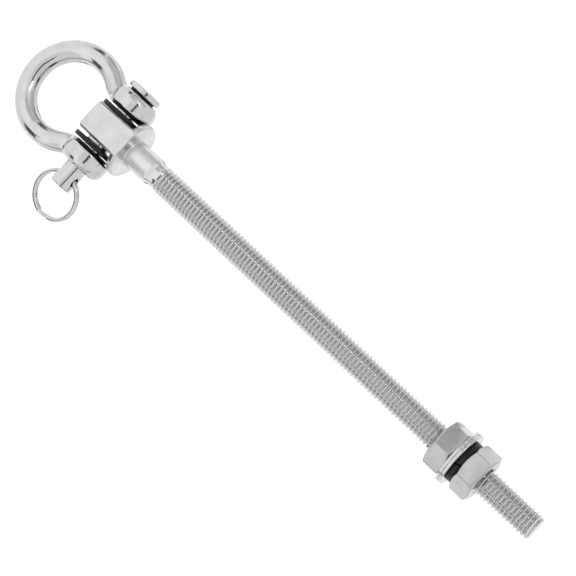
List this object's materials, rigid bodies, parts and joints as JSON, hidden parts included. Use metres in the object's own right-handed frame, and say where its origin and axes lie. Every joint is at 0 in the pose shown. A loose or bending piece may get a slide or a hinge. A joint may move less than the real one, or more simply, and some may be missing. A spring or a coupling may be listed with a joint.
{
  "type": "bow shackle swing hanger bolt",
  "caption": "Bow shackle on a clevis pin with a split ring, swinging on a collared, threaded hanger rod with clamping nuts and washers.",
  "frame": {"origin": "centre of the collar's flat seat, where the smooth shank starts", "axes": "+Z runs along the threaded rod to its tip, the bow shackle hangs towards -Z, +X runs along the clevis pin from its head to its split ring"},
  "size_m": [0.0466, 0.0164, 0.1921],
  "materials": {
    "forged_steel": "polished stainless steel, slightly uneven from forging and tumbling",
    "pin_steel": "turned and polished stainless steel",
    "ring_steel": "bright drawn stainless spring wire",
    "nut_steel": "satin stainless steel with faint machining marks",
    "washer_steel": "pressed stainless steel, satin",
    "black_nylon": "black moulded nylon, satin",
    "black_spring_steel": "black oxide spring steel, semi-gloss"
  },
  "bodies": {
    "lug_bolt": {"lug_bolt": "forged_steel", "lug_sleeve": "pin_steel", "lug_disc_left": "black_nylon", "lug_disc_right": "black_nylon"},
    "shackle": {"bow_shackle": "forged_steel", "ear_bush_left": "black_nylon", "ear_bush_right": "black_nylon"},
    "pin": {"clevis_pin": "pin_steel", "pin_head_washer": "black_nylon"},
    "ring": {"split_ring": "ring_steel"},
    "upper_washer": {"upper_flat_washer": "washer_steel"},
    "upper_nut": {"upper_nut": "nut_steel"},
    "lower_washers": {"lower_flat_washer": "washer_steel", "spring_lock_washer": "black_spring_steel"},
    "lower_nut": {"lower_nut": "nut_steel"}
  },
  "joints": [
    {"name": "shackle_swing", "type": "hinge", "parent": "lug_bolt", "child": "shackle", "pos_m": [0, 0, -0.0095], "axis": [1, 0, 0], "range_deg": [-140, 140]},
    {"name": "pin_turn", "type": "hinge", "parent": "shackle", "child": "pin", "pos_m": [0, 0, -0.0095], "axis": [1, 0, 0], "continuous": true},
    {"name": "ring_swing", "type": "hinge", "parent": "pin", "child": "ring", "pos_m": [0.0174, 0, -0.0095], "axis": [0, 0, 1], "range_deg": [-112, 68]},
    {"name": "upper_travel", "type": "slide", "parent": "lug_bolt", "child": "upper_washer", "axis": [0, 0, 1], "range_m": [-0.10425, 0]},
    {"name": "upper_nut_turn", "type": "hinge", "parent": "upper_washer", "child": "upper_nut", "pos_m": [0, 0, 0.1168], "axis": [0, 0, 1], "range_deg": [-29880, 0]},
    {"name": "lower_travel", "type": "slide", "parent": "lug_bolt", "child": "lower_washers", "axis": [0, 0, 1], "range_m": [0, 0.0177]},
    {"name": "lower_nut_turn", "type": "hinge", "parent": "lower_washers", "child": "lower_nut", "pos_m": [0, 0, 0.12616], "axis": [0, 0, 1], "range_deg": [0, 5040]}
  ],
  "couplings": [
    {"joint": "upper_travel", "follows": "upper_nut_turn", "m_per_rad": 0.00019894},
    {"joint": "lower_travel", "follows": "lower_nut_turn", "m_per_rad": 0.00019894}
  ]
}
